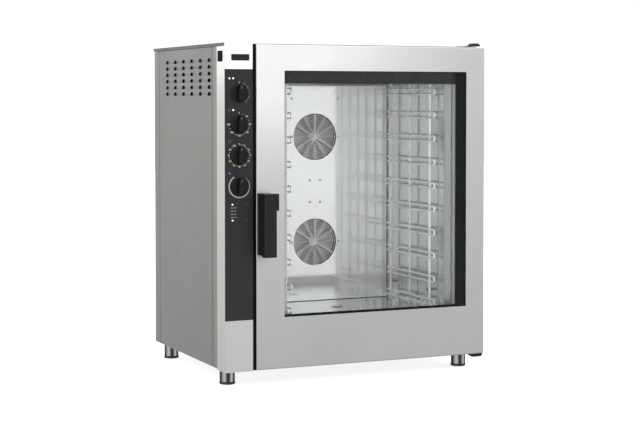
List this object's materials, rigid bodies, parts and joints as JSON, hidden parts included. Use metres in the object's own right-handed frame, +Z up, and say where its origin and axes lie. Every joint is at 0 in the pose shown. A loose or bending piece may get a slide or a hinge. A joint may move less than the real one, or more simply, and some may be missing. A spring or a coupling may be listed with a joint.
{
  "type": "combi steamer oven",
  "caption": "Tall free-standing combi steamer with a glass door hinged on the right, a dial column on the left and wire tray racks inside.",
  "frame": {"origin": "centre of the footprint, on the floor under the feet", "axes": "+X to the right seen from the front, +Y to the back, +Z up"},
  "size_m": [0.9345, 0.797, 1.102],
  "materials": {
    "stainless_panel": "satin brushed stainless steel",
    "stainless_bright": "bright brushed stainless steel",
    "stainless_polished": "polished stainless steel",
    "galvanised": "galvanised sheet",
    "wire_polished": "electropolished wire",
    "black_plastic": "fine-grained black plastic",
    "overlay_film": "dark satin face film",
    "foot_steel": "bright steel sleeve with a black shoe",
    "badge_black": "plain black gloss",
    "led_lens": "clear lens",
    "glass_clear": "clear toughened glass",
    "glass_frit": "black fired ceramic border",
    "silicone": "dark silicone",
    "mineral_wool": "yellowish mineral wool",
    "motor_paint": "dark motor enamel",
    "heater_tube": "heat-tinted steel tube",
    "lamp_glass": "frosted lamp glass",
    "brass_fitting": "machined brass",
    "electrics_grey": "grey moulded plastic",
    "board_green": "green circuit board",
    "screw_steel": "machined stainless steel"
  },
  "bodies": {
    "cabinet": {"chassis_frame": "galvanised", "front_frame": "stainless_bright", "left_side_panel": "stainless_panel", "right_side_panel": "stainless_panel", "rear_panel": "stainless_panel", "top_cover": "stainless_panel", "chamber": "stainless_polished", "insulation": "mineral_wool", "fan_baffle": "stainless_polished", "fan_guards": "wire_polished", "fan_motors": "motor_paint", "heating_coils": "heater_tube", "water_injectors": "stainless_bright", "rack_left": "wire_polished", "rack_right": "wire_polished", "rack_studs": "stainless_bright", "door_gasket": "silicone", "chamber_lamps": "lamp_glass", "drain_pipe": "stainless_bright", "vent_pipe": "stainless_bright", "vent_actuator": "electrics_grey", "water_valve": "brass_fitting", "cable_gland": "black_plastic", "contactors": "electrics_grey", "control_board": "board_green", "cooling_fan_housing": "black_plastic", "column_panel": "stainless_bright", "control_overlay": "overlay_film", "control_switches": "electrics_grey", "status_leds": "led_lens", "badge_plate": "badge_black", "side_port_cap": "black_plastic", "column_trim": "silicone", "hinge_brackets": "stainless_bright", "hinge_caps": "black_plastic", "latch_strike": "stainless_bright", "panel_screws": "screw_steel"},
    "door": {"door_skin": "stainless_bright", "outer_glass": "glass_clear", "door_liner": "stainless_bright", "glass_border": "glass_frit", "inner_glass": "glass_clear", "hinge_bushes": "black_plastic", "handle_base": "black_plastic"},
    "handle": {"handle_lever": "black_plastic", "latch_arm": "stainless_bright"},
    "mode_knob": {"knob_mode": "black_plastic"},
    "temperature_knob": {"knob_temperature": "black_plastic"},
    "timer_knob": {"knob_timer": "black_plastic"},
    "humidity_knob": {"knob_humidity": "black_plastic"},
    "upper_button": {"button_upper": "overlay_film"},
    "lower_button": {"button_lower": "overlay_film"},
    "upper_fan": {"fan_wheel_upper": "stainless_bright"},
    "lower_fan": {"fan_wheel_lower": "stainless_bright"},
    "vent_butterfly": {"vent_flap": "stainless_bright"},
    "cooling_rotor": {"cooling_fan_rotor": "black_plastic"},
    "front_left_foot": {"foot_front_left": "foot_steel"},
    "front_right_foot": {"foot_front_right": "foot_steel"},
    "rear_left_foot": {"foot_rear_left": "foot_steel"},
    "rear_right_foot": {"foot_rear_right": "foot_steel"}
  },
  "joints": [
    {"name": "door_hinge", "type": "hinge", "parent": "cabinet", "child": "door", "pos_m": [0.441, -0.3075, 0.57], "axis": [0, 0, 1], "range_deg": [0, 125]},
    {"name": "handle_turn", "type": "hinge", "parent": "door", "child": "handle", "pos_m": [-0.3315, -0.3655, 0.5885], "axis": [0, -1, 0], "range_deg": [0, 90]},
    {"name": "mode_turn", "type": "hinge", "parent": "cabinet", "child": "mode_knob", "pos_m": [-0.41725, -0.3505, 0.9295], "axis": [0, 1, 0], "range_deg": [0, 270]},
    {"name": "temperature_turn", "type": "hinge", "parent": "cabinet", "child": "temperature_knob", "pos_m": [-0.41725, -0.3505, 0.832], "axis": [0, 1, 0], "range_deg": [0, 300]},
    {"name": "timer_turn", "type": "hinge", "parent": "cabinet", "child": "timer_knob", "pos_m": [-0.41725, -0.3505, 0.7345], "axis": [0, 1, 0], "range_deg": [0, 330]},
    {"name": "humidity_turn", "type": "hinge", "parent": "cabinet", "child": "humidity_knob", "pos_m": [-0.41725, -0.3505, 0.637], "axis": [0, 1, 0], "range_deg": [0, 270]},
    {"name": "upper_button_press", "type": "slide", "parent": "cabinet", "child": "upper_button", "axis": [0, 1, 0], "range_m": [0, 0.0012], "stiffness_N_per_m": 300, "springref_m": -0.003},
    {"name": "lower_button_press", "type": "slide", "parent": "cabinet", "child": "lower_button", "axis": [0, 1, 0], "range_m": [0, 0.0012], "stiffness_N_per_m": 300, "springref_m": -0.003},
    {"name": "upper_fan_spin", "type": "hinge", "parent": "cabinet", "child": "upper_fan", "pos_m": [0.073, 0.2155, 0.777], "axis": [0, -1, 0], "continuous": true},
    {"name": "lower_fan_spin", "type": "hinge", "parent": "cabinet", "child": "lower_fan", "pos_m": [0.073, 0.2155, 0.402], "axis": [0, -1, 0], "continuous": true},
    {"name": "vent_turn", "type": "hinge", "parent": "cabinet", "child": "vent_butterfly", "pos_m": [0.2, 0.1445, 1.059], "axis": [1, 0, 0], "range_deg": [0, 90]},
    {"name": "cooling_spin", "type": "hinge", "parent": "cabinet", "child": "cooling_rotor", "pos_m": [-0.39, 0.3495, 0.832], "axis": [0, -1, 0], "continuous": true},
    {"name": "front_left_foot_screw", "type": "slide", "parent": "cabinet", "child": "front_left_foot", "axis": [0, 0, -1], "range_m": [0, 0.02]},
    {"name": "rear_left_foot_screw", "type": "slide", "parent": "cabinet", "child": "rear_left_foot", "axis": [0, 0, -1], "range_m": [0, 0.02]},
    {"name": "front_right_foot_screw", "type": "slide", "parent": "cabinet", "child": "front_right_foot", "axis": [0, 0, -1], "range_m": [0, 0.02]},
    {"name": "rear_right_foot_screw", "type": "slide", "parent": "cabinet", "child": "rear_right_foot", "axis": [0, 0, -1], "range_m": [0, 0.02]}
  ]
}
